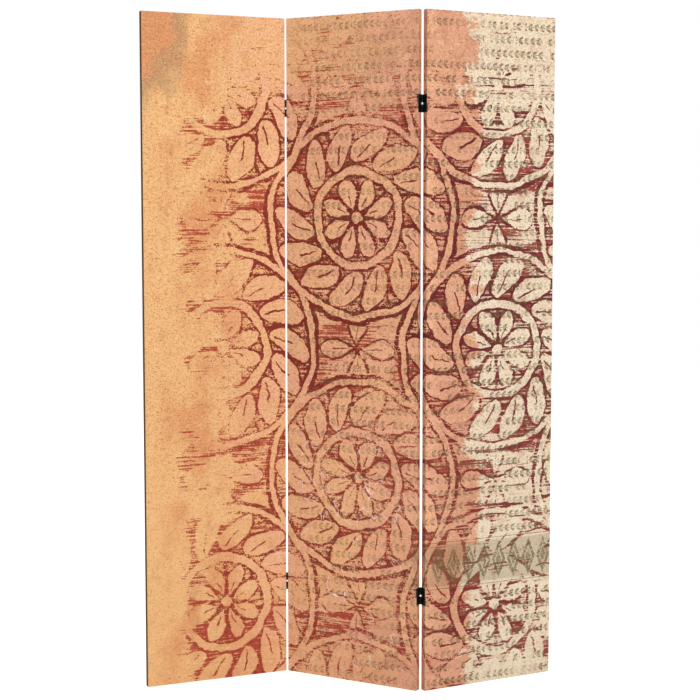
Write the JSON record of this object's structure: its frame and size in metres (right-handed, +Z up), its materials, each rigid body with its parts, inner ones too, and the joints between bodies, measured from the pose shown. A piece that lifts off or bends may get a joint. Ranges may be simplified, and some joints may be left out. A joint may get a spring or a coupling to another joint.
{
  "type": "folding screen",
  "caption": "Tall folding room divider of printed canvas panels stretched over wooden frames, joined by black two-way hinges.",
  "frame": {"origin": "middle of the standing screen's plan box, on the floor", "axes": "+Z up, +X to the right along the screen's width and -Y to its front, as the picture shows it"},
  "size_m": [1.1056, 0.221, 1.8],
  "materials": {
    "softwood": "raw planed softwood",
    "dowel_wood": "raw hardwood dowel",
    "left_print": "matte printed canvas, peach and gold with a worn maroon ornament",
    "middle_print": "matte printed canvas, salmon and tan with a worn maroon ornament",
    "right_print": "matte printed canvas, salmon fading to cream with a worn maroon ornament",
    "left_back_print": "matte printed canvas",
    "middle_back_print": "matte printed canvas",
    "right_back_print": "matte printed canvas",
    "staple_wire": "galvanised wire",
    "black_metal": "black enamel on pressed steel",
    "black_screw": "black oxide",
    "pin_steel": "dark steel wire"
  },
  "bodies": {
    "middle_panel": {"middle_panel_left_stile": "softwood", "middle_panel_right_stile": "softwood", "middle_panel_top_rail": "softwood", "middle_panel_upper_cross_rail": "softwood", "middle_panel_lower_cross_rail": "softwood", "middle_panel_bottom_rail": "softwood", "middle_panel_dowels": "dowel_wood", "middle_panel_front_canvas": "middle_print", "middle_panel_staples": "staple_wire", "middle_panel_back_canvas": "middle_back_print", "top_left_hinge_middle_leaf": "black_metal", "top_right_hinge_middle_leaf": "black_metal", "bottom_left_hinge_middle_leaf": "black_metal", "bottom_right_hinge_middle_leaf": "black_metal", "left_hinge_middle_pins": "pin_steel", "left_hinge_middle_screws": "black_screw", "right_hinge_middle_pins": "pin_steel", "right_hinge_middle_screws": "black_screw"},
    "left_upper_links": {"top_left_hinge_upper_link": "black_metal", "bottom_left_hinge_upper_link": "black_metal"},
    "left_panel": {"left_panel_left_stile": "softwood", "left_panel_right_stile": "softwood", "left_panel_top_rail": "softwood", "left_panel_upper_cross_rail": "softwood", "left_panel_lower_cross_rail": "softwood", "left_panel_bottom_rail": "softwood", "left_panel_dowels": "dowel_wood", "left_panel_front_canvas": "left_print", "left_panel_staples": "staple_wire", "left_panel_back_canvas": "left_back_print", "top_left_hinge_side_leaf": "black_metal", "bottom_left_hinge_side_leaf": "black_metal", "top_left_hinge_lower_link": "black_metal", "bottom_left_hinge_lower_link": "black_metal", "left_hinge_side_pins": "pin_steel", "left_hinge_side_screws": "black_screw"},
    "right_upper_links": {"top_right_hinge_upper_link": "black_metal", "bottom_right_hinge_upper_link": "black_metal"},
    "right_panel": {"right_panel_left_stile": "softwood", "right_panel_right_stile": "softwood", "right_panel_top_rail": "softwood", "right_panel_upper_cross_rail": "softwood", "right_panel_lower_cross_rail": "softwood", "right_panel_bottom_rail": "softwood", "right_panel_dowels": "dowel_wood", "right_panel_front_canvas": "right_print", "right_panel_staples": "staple_wire", "right_panel_back_canvas": "right_back_print", "top_right_hinge_side_leaf": "black_metal", "bottom_right_hinge_side_leaf": "black_metal", "top_right_hinge_lower_link": "black_metal", "bottom_right_hinge_lower_link": "black_metal", "right_hinge_side_pins": "pin_steel", "right_hinge_side_screws": "black_screw"}
  },
  "joints": [
    {"name": "left_reverse", "type": "hinge", "parent": "middle_panel", "child": "left_upper_links", "pos_m": [-0.16552, 0.10754, 0.907], "axis": [0, 0, -1], "range_deg": [0, 90]},
    {"name": "left_fold", "type": "hinge", "parent": "left_upper_links", "child": "left_panel", "pos_m": [-0.17677, 0.08724, 0.907], "axis": [0, 0, 1], "range_deg": [-52.5, 127.5]},
    {"name": "right_reverse", "type": "hinge", "parent": "middle_panel", "child": "right_upper_links", "pos_m": [0.17588, -0.10823, 0.907], "axis": [0, 0, -1], "range_deg": [0, 90]},
    {"name": "right_fold", "type": "hinge", "parent": "right_upper_links", "child": "right_panel", "pos_m": [0.18713, -0.08794, 0.907], "axis": [0, 0, 1], "range_deg": [-56.5, 123.5]}
  ]
}
